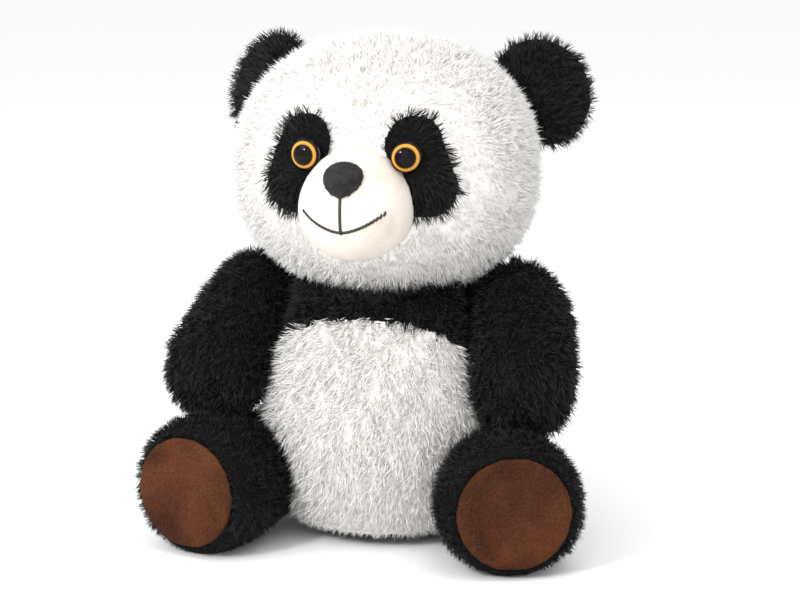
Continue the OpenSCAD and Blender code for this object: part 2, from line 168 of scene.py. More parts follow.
def weaveGroup():
    # crossed threads of a woven backing
    group = bpy.data.node_groups.new("wovenCloth", "ShaderNodeTree")
    group.interface.new_socket("Vector", in_out="INPUT", socket_type="NodeSocketVector")
    socket = group.interface.new_socket("Threads", in_out="INPUT", socket_type="NodeSocketFloat")
    socket.default_value = 300.0
    for name in ("Shade", "Height"):
        group.interface.new_socket(name, in_out="OUTPUT", socket_type="NodeSocketFloat")
    nodes, links = group.nodes, group.links
    start, end = nodes.new("NodeGroupInput"), nodes.new("NodeGroupOutput")
    heights = []
    for direction in ("X", "Z"):
        wave = nodes.new("ShaderNodeTexWave")
        wave.bands_direction = direction
        wave.inputs["Distortion"].default_value = 0.8
        links.new(start.outputs["Vector"], wave.inputs["Vector"])
        links.new(start.outputs["Threads"], wave.inputs["Scale"])
        heights.append(wave.outputs["Fac"])
    both = nodes.new("ShaderNodeMath")
    both.operation = "MAXIMUM"
    links.new(heights[0], both.inputs[0])
    links.new(heights[1], both.inputs[1])
    links.new(both.outputs["Value"], end.inputs["Shade"])
    links.new(both.outputs["Value"], end.inputs["Height"])
    return group


nap = napGroup()
weave = weaveGroup()


def ramp(nodes, stops):
    made = nodes.new("ShaderNodeValToRGB")
    while len(made.color_ramp.elements) < len(stops):
        made.color_ramp.elements.new(0.5)
    for element, (place, color) in zip(made.color_ramp.elements, stops):
        element.position = place
        element.color = (*color, 1)
    return made


def clothMaterial(name, group, stops, bump, roughness, settings, **plain):
    # a cloth whose colour and bump follow one of the shared groups
    material, nodes, links, shader = newMaterial(name, roughness, **plain)
    place = nodes.new("ShaderNodeTexCoord")
    pattern = nodes.new("ShaderNodeGroup")
    pattern.node_tree = group
    for key, value in settings.items():
        pattern.inputs[key].default_value = value
    links.new(place.outputs["Object"], pattern.inputs["Vector"])
    colors = ramp(nodes, stops)
    links.new(pattern.outputs["Shade"], colors.inputs["Fac"])
    links.new(colors.outputs["Color"], shader.inputs["Base Color"])
    raised = nodes.new("ShaderNodeBump")
    raised.inputs["Strength"].default_value = bump
    raised.inputs["Distance"].default_value = 0.0006
    links.new(pattern.outputs["Height"], raised.inputs["Height"])
    links.new(raised.outputs["Normal"], shader.inputs["Normal"])
    return material


def pileMaterial(name, shadedRoots, tips, spread, roughness, **plain):
    # pile fibres: the map's height runs from root to tip, and its width from darker to lighter locks
    material, nodes, links, shader = newMaterial(name, roughness, **plain)
    place = nodes.new("ShaderNodeUVMap")
    place.uv_map = "OFBake"
    split = nodes.new("ShaderNodeSeparateXYZ")
    links.new(place.outputs["UV"], split.inputs["Vector"])
    # painted shade: the colour darkens from tip to root, standing in for the shadow deep in the pile
    along = ramp(nodes, [(0.0, shadedRoots), (0.55, tips), (1.0, tips)])
    links.new(split.outputs["Y"], along.inputs["Fac"])
    across = ramp(nodes, [(0.0, (1 - spread,) * 3), (0.5, (1 - spread / 3,) * 3), (1.0, (1.0,) * 3)])
    links.new(split.outputs["X"], across.inputs["Fac"])
    both = nodes.new("ShaderNodeMix")
    both.data_type = "RGBA"
    both.blend_type = "MULTIPLY"
    both.inputs["Factor"].default_value = 1.0
    links.new(along.outputs["Color"], both.inputs["A"])
    links.new(across.outputs["Color"], both.inputs["B"])
    links.new(both.outputs["Result"], shader.inputs["Base Color"])
    return material


materials = {
    # each pile's first colour is its darker root colour, painted shade for the depths of the pile
    "whitePile": pileMaterial("whitePile", (0.80, 0.77, 0.735), (0.915, 0.9, 0.88), 0.07, 0.75,
                              Sheen_Weight=0.25, Specular_IOR_Level=0.25),
    "blackPile": pileMaterial("blackPile", (0.002, 0.002, 0.0023), (0.0085, 0.0085, 0.0098), 0.6, 0.42,
                              Sheen_Weight=0.02, Specular_IOR_Level=0.3),
    "whiteBacking": clothMaterial("whiteBacking", weave,
                                  [(0, (0.84, 0.81, 0.78)), (1, (0.92, 0.9, 0.88))],
                                  0.4, 0.9, {"Threads": 260.0}),
    "blackBacking": clothMaterial("blackBacking", weave,
                                  [(0, (0.002, 0.002, 0.002)), (1, (0.007, 0.007, 0.008))],
                                  0.4, 0.9, {"Threads": 260.0}, Specular_IOR_Level=0.08),
    "creamVelour": clothMaterial("creamVelour", nap,
                                 [(0.2, (0.64, 0.56, 0.49)), (0.8, (0.80, 0.73, 0.66))],
                                 0.45, 0.85, {"Grain": 1100.0, "Patch": 60.0, "Contrast": 0.3},
                                 Sheen_Weight=0.15),
    "brownVelour": clothMaterial("brownVelour", nap,
                                 [(0.25, (0.024, 0.0085, 0.0045)), (0.5, (0.058, 0.018, 0.0068)),
                                  (0.8, (0.105, 0.034, 0.0125))],
                                 0.8, 0.8, {"Grain": 700.0, "Patch": 30.0, "Contrast": 0.3},
                                 Specular_IOR_Level=0.1),
    "noseVelour": clothMaterial("noseVelour", nap,
                                [(0.25, (0.007, 0.006, 0.007)), (0.75, (0.028, 0.026, 0.028))],
                                0.8, 0.85, {"Grain": 1000.0, "Patch": 160.0, "Contrast": 0.3},
                                Sheen_Weight=0.04, Specular_IOR_Level=0.2),
    "thread": clothMaterial("thread", weave, [(0, (0.008, 0.006, 0.006)), (1, (0.03, 0.025, 0.025))],
                            0.3, 0.5, {"Threads": 900.0}),
    "bagCloth": clothMaterial("bagCloth", weave, [(0, (0.4, 0.39, 0.36)), (1, (0.6, 0.59, 0.56))],
                              0.5, 0.9, {"Threads": 200.0}),
    "washerPlastic": clothMaterial("washerPlastic", nap,
                                   [(0.2, (0.7, 0.7, 0.67)), (0.8, (0.76, 0.76, 0.73))],
                                   0.1, 0.45, {"Grain": 300.0, "Patch": 80.0, "Contrast": 0.4}),
    "eyeBase": clothMaterial("eyeBase", nap, [(0.2, (0.006, 0.006, 0.006)), (0.8, (0.012, 0.012, 0.012))],
                             0.05, 0.12, {"Grain": 500.0, "Patch": 80.0, "Contrast": 0.4}),
}
print("materials ready")


formSettings = {"pressure": 4.0, "steps": 20, "quality": 4}
floorGap = 0.0004


def keepLargest(piece):
    work = bmesh.new()
    work.from_mesh(piece.data)
    left = set(work.verts)
    islands = []
    while left:
        seed = left.pop()
        island, edge = {seed}, [seed]
        while edge:
            for link in edge.pop().link_edges:
                for vert in link.verts:
                    if vert in left:
                        left.discard(vert)
                        island.add(vert)
                        edge.append(vert)
        islands.append(island)
    largest = max(islands, key=len)
    bmesh.ops.delete(work, geom=[v for v in work.verts if v not in largest], context="VERTS")
    work.to_mesh(piece.data)
    work.free()


def evenMesh(piece, voxel):
    remesh = piece.modifiers.new("even", "REMESH")
    remesh.mode = "VOXEL"
    remesh.voxel_size = voxel
    applyModifiers(piece)
    keepLargest(piece)


def relax(piece, rounds):
    work = bmesh.new()
    work.from_mesh(piece.data)
    for _ in range(rounds):
        bmesh.ops.smooth_vert(work, verts=work.verts, factor=0.5, use_axis_x=True, use_axis_y=True,
                              use_axis_z=True)
    work.to_mesh(piece.data)
    work.free()


def subdivide(piece):
    finer = piece.modifiers.new("finer", "SUBSURF")
    finer.levels = finer.render_levels = 1
    applyModifiers(piece)


def stuffedForm(name, nodes, settings, shape=None):
    # covers or stuffing puffed up as cloth under pressure, then drawn in to where the pile is rooted
    form = mergedCopy(nodes, name)
    evenMesh(form, settings["voxel"])
    start = pointsOf(form)
    if settings["cap"]:
        cloth = form.modifiers.new("puff", "CLOTH")
        cloth.settings.use_pressure = True
        cloth.settings.uniform_pressure_force = formSettings["pressure"]
        cloth.settings.effector_weights.gravity = 0
        cloth.settings.quality = formSettings["quality"]
        cloth.point_cache.frame_start = 1
        cloth.point_cache.frame_end = formSettings["steps"]
        for step in range(1, formSettings["steps"] + 1):
            scene.frame_set(step)
        applyModifiers(form)
        scene.frame_set(1)
        move = pointsOf(form) - start
        far = np.linalg.norm(move, axis=1, keepdims=True)
        setPoints(form, start + move * np.minimum(1, settings["cap"] / np.maximum(far, 1e-9)))
    relax(form, settings["rounds"])
    if shape is not None:
        setPoints(form, [shape(Vector(point)) for point in pointsOf(form)])
    setPoints(form, pointsOf(form) - normalsOf(form) * settings["shrink"])
    subdivide(form)
    points = pointsOf(form)
    points[:, 2] = np.maximum(points[:, 2], floorGap)
    setPoints(form, points)
    print("form", name, len(form.data.polygons), "faces")
    return form


def panelsOf(form, nodes, drop=0.0):
    # each face goes to the cover it lies nearest, looked up a little lower where the seam sits high
    trees = [nodeTree(node) for node in nodes]
    owners = []
    for face in form.data.polygons:
        distances = [tree.find_nearest(face.center - up * drop)[3] for tree in trees]
        owners.append(distances.index(min(distances)))
    panels = []
    for index, node in enumerate(nodes):
        work = bmesh.new()
        work.from_mesh(form.data)
        work.faces.ensure_lookup_table()
        gone = [face for face, owner in zip(work.faces, owners) if owner != index]
        bmesh.ops.delete(work, geom=gone, context="FACES")
        panels.append(fromBmesh(work, node + "_cloth"))
    bpy.data.objects.remove(form)
    return panels


lockSettings = {"variants": 8, "strands": 6, "width": 0.0007, "length": 0.008, "spread": 0.0022,
                "splay": 0.17, "curl": 0.0012, "seed": 11}
noise.seed_set(lockSettings["seed"])  # so that the swirls of the pile are the same each run


def addStrand(work, layer, root, lean, curl, length, width, shade):
    # one tapering three-sided fibre with a bend, drawn up from a small ring and closed at its tip
    old = set(work.faces)
    verts = bmesh.ops.create_circle(work, segments=3, radius=width / 2)["verts"]
    bmesh.ops.translate(work, verts=verts, vec=(root[0], root[1], -0.15 * length))
    heights = {vert: 0.0 for vert in verts}
    edges = list({edge for vert in verts for edge in vert.link_edges})
    for share, thin in ((0.5, 0.85), (1.0, 0.1)):
        grown = bmesh.ops.extrude_edge_only(work, edges=edges)["geom"]
        verts = [item for item in grown if isinstance(item, bmesh.types.BMVert)]
        edges = [item for item in grown if isinstance(item, bmesh.types.BMEdge)]
        middle = sum((vert.co for vert in verts), Vector()) / 3
        target = Vector((root[0] + lean[0] * length * share + curl[0] * share * share,
                         root[1] + lean[1] * length * share + curl[1] * share * share, length * share))
        bmesh.ops.scale(work, verts=verts, vec=(thin, thin, 1), space=Matrix.Translation(-middle))
        bmesh.ops.translate(work, verts=verts, vec=target - middle)
        heights.update((vert, share) for vert in verts)
    bmesh.ops.pointmerge(work, verts=verts, merge_co=target)
    faces = [face for face in work.faces if face not in old]
    bmesh.ops.recalc_face_normals(work, faces=faces)
    for face in faces:
        face.smooth = True
        for number, loop in enumerate(face.loops):
            height = heights.get(loop.vert, 1.0)
            loop[layer].uv = (shade + (0.02 if number in (1, 2) else -0.02), 0.02 + 0.96 * height)


def makeLocks(name, settings):
    # small locks of fibres, each variant with its own shade column on the map
    rng = np.random.default_rng(settings["seed"])
    collection = bpy.data.collections.new(name)
    for variant in range(settings["variants"]):
        work = bmesh.new()
        layer = work.loops.layers.uv.new("OFBake")
        shade = 0.05 + 0.9 * (variant + 0.5) / settings["variants"]
        for _ in range(settings["strands"]):
            addStrand(work, layer, rng.normal(0, settings["spread"] / 2, 2),
                      rng.normal(0, settings["splay"], 2), rng.normal(0, settings["curl"], 2),
                      settings["length"] * rng.uniform(0.72, 1.1), settings["width"] * rng.uniform(0.75, 1.2),
                      shade)
        lock = fromBmesh(work, f"{name}{variant}")
        scene.collection.objects.unlink(lock)
        collection.objects.link(lock)
    return collection


def scatterTree(name, style, seed):
    # points over the cloth, a lock at each, leaning with the comb and drawn into clumps
    tree = bpy.data.node_groups.new(name, "GeometryNodeTree")
    tree.interface.new_socket("Geometry", in_out="INPUT", socket_type="NodeSocketGeometry")
    tree.interface.new_socket("Geometry", in_out="OUTPUT", socket_type="NodeSocketGeometry")
    nodes, links = tree.nodes, tree.links

    def named(attribute, kind):
        node = nodes.new("GeometryNodeInputNamedAttribute")
        node.data_type = kind
        node.inputs["Name"].default_value = attribute
        return node.outputs["Attribute"]

    def vectorMath(operation, first, second=None, scale=None):
        node = nodes.new("ShaderNodeVectorMath")
        node.operation = operation
        links.new(first, node.inputs[0])
        if second is not None:
            links.new(second, node.inputs[1])
        if scale is not None:
            node.inputs["Scale"].default_value = scale
        return node.outputs["Vector"]

    def randomValue(kind, low, high, offset):
        node = nodes.new("FunctionNodeRandomValue")
        node.data_type = kind
        slot = {"FLOAT": 2, "INT": 4, "FLOAT_VECTOR": 0}[kind]
        node.inputs[slot].default_value = low
        node.inputs[slot + 1].default_value = high
        node.inputs["Seed"].default_value = seed + offset
        return node.outputs[{"FLOAT": 1, "INT": 2, "FLOAT_VECTOR": 0}[kind]]

    start, end = nodes.new("NodeGroupInput"), nodes.new("NodeGroupOutput")
    spread = nodes.new("GeometryNodeDistributePointsOnFaces")
    spread.distribute_method = "POISSON"
    spread.inputs["Distance Min"].default_value = style["spacing"]
    spread.inputs["Density Max"].default_value = 1.0 / style["spacing"] ** 2
    spread.inputs["Seed"].default_value = seed
    links.new(start.outputs["Geometry"], spread.inputs["Mesh"])
    links.new(named("pileShare", "FLOAT"), spread.inputs["Density Factor"])
    position = nodes.new("GeometryNodeInputPosition").outputs["Position"]
    cells = nodes.new("ShaderNodeTexVoronoi")
    cells.inputs["Scale"].default_value = 1 / style["clump"]
    links.new(position, cells.inputs["Vector"])
    toCell = vectorMath("SUBTRACT", cells.outputs["Position"], position)
    drawn = vectorMath("SCALE", toCell, scale=style["pull"] / style["clump"])
    loose = randomValue("FLOAT_VECTOR", (-style["jitter"],) * 3, (style["jitter"],) * 3, 1)
    aim = vectorMath("ADD", vectorMath("ADD", named("pileAim", "FLOAT_VECTOR"), drawn), loose)
    align = nodes.new("FunctionNodeAlignRotationToVector")
    align.axis = "Z"
    links.new(aim, align.inputs["Vector"])
    spin = nodes.new("FunctionNodeAxisAngleToRotation")
    spin.inputs["Axis"].default_value = (0, 0, 1)
    links.new(randomValue("FLOAT", 0.0, math.tau, 2), spin.inputs["Angle"])
    turn = nodes.new("FunctionNodeRotateRotation")
    turn.rotation_space = "LOCAL"
    links.new(align.outputs["Rotation"], turn.inputs["Rotation"])
    links.new(spin.outputs["Rotation"], turn.inputs["Rotate By"])
    size = nodes.new("ShaderNodeMath")
    size.operation = "MULTIPLY"
    links.new(named("pileLength", "FLOAT"), size.inputs[0])
    links.new(randomValue("FLOAT", 0.8, 1.15, 3), size.inputs[1])
    lockSet = nodes.new("GeometryNodeCollectionInfo")
    lockSet.inputs["Collection"].default_value = style["locks"]
    lockSet.inputs["Separate Children"].default_value = True
    plant = nodes.new("GeometryNodeInstanceOnPoints")
    plant.inputs["Pick Instance"].default_value = True
    links.new(spread.outputs["Points"], plant.inputs["Points"])
    links.new(lockSet.outputs["Instances"], plant.inputs["Instance"])
    links.new(randomValue("INT", 0, lockSettings["variants"] - 1, 4), plant.inputs["Instance Index"])
    links.new(turn.outputs["Rotation"], plant.inputs["Rotation"])
    links.new(size.outputs["Value"], plant.inputs["Scale"])
    real = nodes.new("GeometryNodeRealizeInstances")
    links.new(plant.outputs["Instances"], real.inputs["Geometry"])
    links.new(real.outputs["Geometry"], end.inputs["Geometry"])
    return tree


def growPile(cloth, name, style, share, comb, length, seed):
    # share, comb and length are functions of a point and its normal
    points, normals = pointsOf(cloth), normalsOf(cloth)
    shares, lengths = np.zeros(len(points)), np.zeros(len(points))
    aims = np.zeros((len(points), 3))
    for index, (point, normal) in enumerate(zip(points, normals)):
        point, normal = Vector(point), Vector(normal)
        flow = comb(point, normal) + style["swirl"] * noise.noise_vector(point * style["swirlScale"])
        flow = flow - normal * flow.dot(normal)
        shares[index] = share(point, normal)
        lengths[index] = length(point, normal)
        aims[index] = normal + flow * style["lay"]
    pile = bpy.data.objects.new(name, cloth.data.copy())
    scene.collection.objects.link(pile)
    for attribute, kind, values in (("pileShare", "FLOAT", shares), ("pileLength", "FLOAT", lengths),
                                    ("pileAim", "FLOAT_VECTOR", aims)):
        layer = pile.data.attributes.new(attribute, kind, "POINT")
        layer.data.foreach_set("vector" if kind == "FLOAT_VECTOR" else "value",
                               values.astype(np.float32).ravel())
    scatter = pile.modifiers.new("scatter", "NODES")
    scatter.node_group = scatterTree(name, style, seed)
    applyModifiers(pile)
    for attribute in ("pileShare", "pileLength", "pileAim"):
        if attribute in pile.data.attributes:
            pile.data.attributes.remove(pile.data.attributes[attribute])
    points = pointsOf(pile)
    points[:, 2] = np.maximum(points[:, 2], floorGap)
    setPoints(pile, points)
    print("pile", name, len(pile.data.polygons), "faces")
    return pile


longLocks = makeLocks("lock", lockSettings)
whiteStyle = {"locks": longLocks, "spacing": 0.0020, "swirl": 0.9, "swirlScale": 42.0, "lay": 0.8,
              "clump": 0.0075, "pull": 0.7, "jitter": 0.2}
blackStyle = {"locks": longLocks, "spacing": 0.0021, "swirl": 1.0, "swirlScale": 45.0, "lay": 0.8,
              "clump": 0.0075, "pull": 0.85, "jitter": 0.25}
slotLooks = {"white_plush": ("whitePile", "whiteBacking", whiteStyle),
             "black_plush": ("blackPile", "blackBacking", blackStyle),
             "seam_cloth": ("blackPile", "blackBacking", blackStyle)}
nodeSlots = {name: node.data.materials[0].name.split(".")[0] for name, node in frame["nodes"].items()}


def finishPiece(piece, body, material, stands=()):
    piece.data.materials.clear()
    piece.data.materials.append(materials[material])
    smoothShade(piece)
    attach(piece, body)
    if stands:
        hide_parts(*stands)
    return piece


def furPanel(panel, node, body, stands, share, comb, length, seed, split=()):
    # a panel's backing and its pile; a large panel's pile comes in strips, split across x
    slot = nodeSlots[node]
    pileLook, backing, style = slotLooks[slot]
    panel.name = node + "_cloth"
    edges = [-9.0, *split, 9.0]
    for strip, (low, high) in enumerate(zip(edges, edges[1:])):
        name = node + "_pile" + (str(strip + 1) if split else "")

        def stripShare(point, normal, low=low, high=high):
            return share(point, normal) if low <= point.x < high else 0.0

        pile = growPile(panel, name, style, stripShare, comb, length, seed + 10 * strip)
        finishPiece(pile, body, pileLook)
    finishPiece(panel, body, backing, (node, *stands))


def plainPiece(node, body, material, settings, shape=None):
    # a small hidden or smooth soft part, evened out
    piece = mergedCopy([node], node + "_soft")
    evenMesh(piece, settings["voxel"])
    relax(piece, settings["rounds"])
    if shape is not None:
        setPoints(piece, [shape(Vector(point)) for point in pointsOf(piece)])
    subdivide(piece)
    return finishPiece(piece, body, material, (node,))


def near(trees, point):
    # distance to the nearest of several surfaces
    return min(tree.find_nearest(point)[3] for tree in trees)


def always(value):
    return lambda point, normal: value


def fade(value, low, high):
    # 0 below low, 1 above high and even between
    return min(max((value - low) / (high - low), 0.0), 1.0)


faceSettings = {"voxel": 0.004, "cap": 0.004, "rounds": 3, "shrink": -0.0006, "cheek": 0.03, "chin": 0.04,
                "patchBare": 0.005, "seams": (-0.052, -0.018, 0.018, 0.052), "fill": 0.9, "patchFill": 0.3,
                "eyeGap": 0.0105, "patchDrop": 0.0035, "muzzleGap": 0.0015, "sweep": 0.8, "droop": 0.55,
                "short": 0.5, "long": 0.4, "frontSeed": 21, "backSeed": 61}
headLow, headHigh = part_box("head_front_cover")
headMiddle = Vector((0, (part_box("head_back_cover")[1].y + headLow.y) / 2, (headLow.z + headHigh.z) / 2))
muzzleMiddle = boxMiddle("muzzle_cover")
muzzleTree = nodeTree("muzzle_cover")
patchTrees = [nodeTree(side + "_eye_patch") for side in sides]
eyePoints = {side: boxMiddle(side + "_eye_dome") for side in sides}


def headComb(point, normal):
    away = point - muzzleMiddle
    away.y = 0
    return away.normalized() * faceSettings["sweep"] - up * faceSettings["droop"]


def headShare(point, normal):
    if near(patchTrees, point) < faceSettings["patchBare"] and point.y < headMiddle.y:
        return 0.0
    return 0.0 if muzzleTree.find_nearest(point)[3] < faceSettings["muzzleGap"] else 1.0


def headLength(point, normal):
    closeBy = min(near(patchTrees, point), muzzleTree.find_nearest(point)[3])
    return faceSettings["short"] + faceSettings["long"] * fade(closeBy, 0.004, 0.03)


def fullerCheeks(point):
    low = fade(headMiddle.z - point.z, 0, 0.04)
    return Vector((point.x * (1 + faceSettings["cheek"] * low), point.y,
                   point.z - (headMiddle.z - point.z) * faceSettings["chin"] * low))


headForm = stuffedForm("headForm", ["head_stuffing"], faceSettings, fullerCheeks)
front, back = panelsOf(headForm, ["head_front_cover", "head_back_cover"])
furPanel(front, "head_front_cover", "head", ("head_stuffing",),
         headShare, headComb, headLength, faceSettings["frontSeed"], faceSettings["seams"])
furPanel(back, "head_back_cover", "head", (),
         headShare, headComb, headLength, faceSettings["backSeed"])


patchSettings = {"voxel": 0.0016, "rounds": 2, "sweep": 1.3, "droop": 0.3, "short": 0.35, "long": 0.55,
                 "seed": 81}
for number, side in enumerate(sides):
    node = side + "_eye_patch"
    patch = mergedCopy([node], node + "_form")
    evenMesh(patch, patchSettings["voxel"])
    relax(patch, patchSettings["rounds"])
    drop = (headMiddle - boxMiddle(node)).normalized() * faceSettings["patchDrop"]
    setPoints(patch, pointsOf(patch) + np.array(drop))
    eye = eyePoints[side]

    def patchComb(point, normal, eye=eye):
        away = point - eye
        away.y *= 0.3
        return away.normalized() * patchSettings["sweep"] - up * patchSettings["droop"]

    def patchShare(point, normal, eye=eye):
        outward = (point - headMiddle).normalized()
        return 1.0 if normal.dot(outward) > -0.2 and (point - eye).length > faceSettings["eyeGap"] else 0.0

    def patchLength(point, normal, eye=eye):
        far = fade((point - eye).length, 0.012, 0.026)
        return patchSettings["short"] + patchSettings["long"] * far

    furPanel(patch, node, "head", (), patchShare, patchComb, patchLength,
             patchSettings["seed"] + 10 * number)


muzzleSettings = {"voxel": 0.0025, "cap": 0, "rounds": 3, "shrink": 0.0, "narrow": 0.96, "widen": 0.1,
                  "fill": 0.9}
noseSettings = {"voxel": 0.0012, "rounds": 3, "top": 1.08, "taper": 0.3, "fill": 0.95}


def muzzleCheeks(point):
    low = fade(muzzleMiddle.z - point.z, -0.02, 0.02)
    return Vector((point.x * (muzzleSettings["narrow"] + muzzleSettings["widen"] * low), point.y, point.z))


def noseTaper(point):
    low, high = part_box("nose")
    down = fade(high.z - point.z, 0, high.z - low.z)
    return Vector((point.x * (noseSettings["top"] - noseSettings["taper"] * down), point.y, point.z))


muzzle = stuffedForm("muzzleForm", ["muzzle_cover", "muzzle_stuffing"], muzzleSettings, muzzleCheeks)
muzzle.name = "muzzle_cloth"
finishPiece(muzzle, "head", "creamVelour", ("muzzle_cover", "muzzle_stuffing"))
plainPiece("nose", "head", "noseVelour", noseSettings, noseTaper)

mouthSettings = {"width": 0.0009, "length": 0.0034, "step": 0.0017, "slant": 0.27, "smileBend": 1.7,
                 "rise": 0.75, "steep": 0.85, "steepBend": 0.7}


def mouthLine():
    # from under the nose down to the lip, then both ways up the smile
    low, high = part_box("mouth_stitching")
    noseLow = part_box("nose")[0].z
    lines = []
    bottom = low.z + mouthSettings["width"]
    count = int((noseLow - bottom) / mouthSettings["step"])
    lines += [(0.0, bottom + (noseLow - bottom) * k / count, 0.0) for k in range(count + 1)]
    reach, rise = high.x, (high.z - low.z) * mouthSettings["rise"]
    count = int(reach / mouthSettings["step"])
    for sign in (-1, 1):
        for k in range(count + 1):
            share = k / count
            lines.append((sign * reach * share, bottom + rise * share ** mouthSettings["smileBend"], sign))
    return lines


muzzleWork = bmesh.new()
muzzleWork.from_mesh(muzzle.data)
muzzleSurface = BVHTree.FromBMesh(muzzleWork)
muzzleWork.free()
work = bmesh.new()
for x, z, sign in mouthLine():
    hit, normal, _, _ = muzzleSurface.ray_cast(Vector((x, -1, z)), Vector((0, 1, 0)))
    if hit is None:
        continue
    share = abs(x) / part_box("mouth_stitching")[1].x
    steep = math.pi / 2 if sign == 0 else (
        sign * math.atan(mouthSettings["steep"] * share ** mouthSettings["steepBend"]))
    angle = steep + mouthSettings["slant"]
    along = Vector((math.cos(angle), 0, math.sin(angle)))
    along = (along - normal * along.dot(normal)).normalized()
    place = Matrix.Translation(hit) @ Matrix((along, normal.cross(along), normal)).transposed().to_4x4()
    size = Matrix.Diagonal((mouthSettings["length"] / 2, mouthSettings["width"], mouthSettings["width"], 1))
    bmesh.ops.create_uvsphere(work, u_segments=8, v_segments=6, radius=1.0, matrix=place @ size)
mouth = fromBmesh(work, "mouth_stitches")
finishPiece(mouth, "head", "thread", ("mouth_stitching",))
print("face ready")


eyeSettings = {"pupil": 0.65, "ring": 0.86, "gold": (0.6, 0.31, 0.045), "goldDeep": (0.22, 0.075, 0.01),
               "dark": (0.004, 0.003, 0.003)}


def eyeMaterial(name, side):
    # a ring of amber round a black pupil, centred on the eye, on a smooth, faintly glossy surface
    material, nodes, links, shader = newMaterial(name, 0.04, Specular_IOR_Level=0.13)
    turn = math.atan2(eyePoints[side].x - boxMiddle(side + "_eye_stem").x,
                      boxMiddle(side + "_eye_stem").y - eyePoints[side].y)
    place = nodes.new("ShaderNodeTexCoord")
    middle = nodes.new("ShaderNodeVectorMath")
    middle.operation = "SUBTRACT"
    middle.inputs[1].default_value = eyePoints[side]
    across = nodes.new("ShaderNodeVectorMath")
    across.operation = "CROSS_PRODUCT"
    across.inputs[1].default_value = (math.sin(turn), -math.cos(turn), 0)
    far = nodes.new("ShaderNodeVectorMath")
    far.operation = "LENGTH"
    share = nodes.new("ShaderNodeMath")
    share.operation = "DIVIDE"
    share.inputs[1].default_value = boxSize(side + "_eye_dome").z / 2
    links.new(place.outputs["Object"], middle.inputs[0])
    links.new(middle.outputs["Vector"], across.inputs[0])
    links.new(across.outputs["Vector"], far.inputs[0])
    links.new(far.outputs["Value"], share.inputs[0])
    pupil, ring = eyeSettings["pupil"], eyeSettings["ring"]
    colors = ramp(nodes, [(0, eyeSettings["dark"]), (pupil - 0.02, eyeSettings["dark"]),
                          (pupil + 0.02, eyeSettings["goldDeep"]), (pupil + 0.06, eyeSettings["gold"]),
                          (ring - 0.03, eyeSettings["gold"]), (ring, eyeSettings["goldDeep"]),
                          (ring + 0.03, eyeSettings["dark"])])
    links.new(share.outputs["Value"], colors.inputs["Fac"])
    links.new(colors.outputs["Color"], shader.inputs["Base Color"])
    return material


for side in sides:
    for part in ("dome", "iris"):
        node = frame["nodes"][f"{side}_eye_{part}"]
        node.data.materials.clear()
        node.data.materials.append(eyeMaterial(f"{side}Eye{part.title()}", side))
    for part, look in (("stem", "eyeBase"), ("washer", "washerPlastic")):
        node = frame["nodes"][f"{side}_eye_{part}"]
        node.data.materials.clear()
        node.data.materials.append(materials[look])
print("eyes ready")


earSettings = {"voxel": 0.0022, "cap": 0.0015, "rounds": 3, "shrink": 0.001, "length": 0.72, "fill": 0.5,
               "sweep": 0.9, "droop": 0.15, "seed": 111}
for number, side in enumerate(sides):
    names = [side + "_ear_front", side + "_ear_back"]
    form = stuffedForm(side + "EarForm", names, earSettings)
    base = jointPlace(side + "_ear_fold")

    def earComb(point, normal, base=base):
        return (point - base).normalized() * earSettings["sweep"] - up * earSettings["droop"]

    for half, (panel, node) in enumerate(zip(panelsOf(form, names), names)):
        furPanel(panel, node, side + "_ear", (), always(1.0), earComb,
                 always(earSettings["length"]), earSettings["seed"] + 20 * number + 7 * half)


torsoNodes = ["chest_yoke", "belly_panel", "left_back_cover", "right_back_cover", "seat_panel"]
torsoSettings = {"voxel": 0.004, "cap": 0.004, "rounds": 4, "shrink": 0.001, "fill": 0.85,
                 "belly": 0.1, "bellyHeight": 0.055, "bellyReach": 0.06, "forward": 0.07,
                 "shoulderRise": 0.012,
                 "seamDrop": 0.006, "comb": (-0.25, 0, -1), "short": 0.25, "long": 0.75, "seed": 171,
                 "hipSeed": 221}
torsoMiddle = boxMiddle("seat_panel")


def plumpTorso(point):
    # wider and rounder at the belly, with the shoulders built up under the head
    swell = math.exp(-((point.z - torsoSettings["bellyHeight"]) / torsoSettings["bellyReach"]) ** 2)
    away = point - torsoMiddle
    forward = torsoSettings["forward"] * swell if away.y < 0 else 0.0
    built = fade(point.z, 0.1, 0.14) * fade(abs(point.x), 0.02, 0.045)
    return Vector((point.x * (1 + torsoSettings["belly"] * swell), torsoMiddle.y + away.y * (1 + forward),
                   point.z + torsoSettings["shoulderRise"] * built))


torsoForm = stuffedForm("torsoForm", ["torso_stuffing"], torsoSettings, plumpTorso)


def torsoComb(point, normal):
    return Vector(torsoSettings["comb"])


def torsoLength(point, normal):
    return torsoSettings["short"] + torsoSettings["long"] * fade(point.z, 0.003, 0.02)


def torsoShare(point, normal):
    return fade(point.z, 0.002, 0.006)


torsoPanels = panelsOf(torsoForm, torsoNodes, torsoSettings["seamDrop"])
for number, (panel, node) in enumerate(zip(torsoPanels, torsoNodes)):
    stands = ("torso_stuffing",) if number == 0 else ()
    furPanel(panel, node, "torso", stands, torsoShare, torsoComb, torsoLength,
             torsoSettings["seed"] + 10 * number)


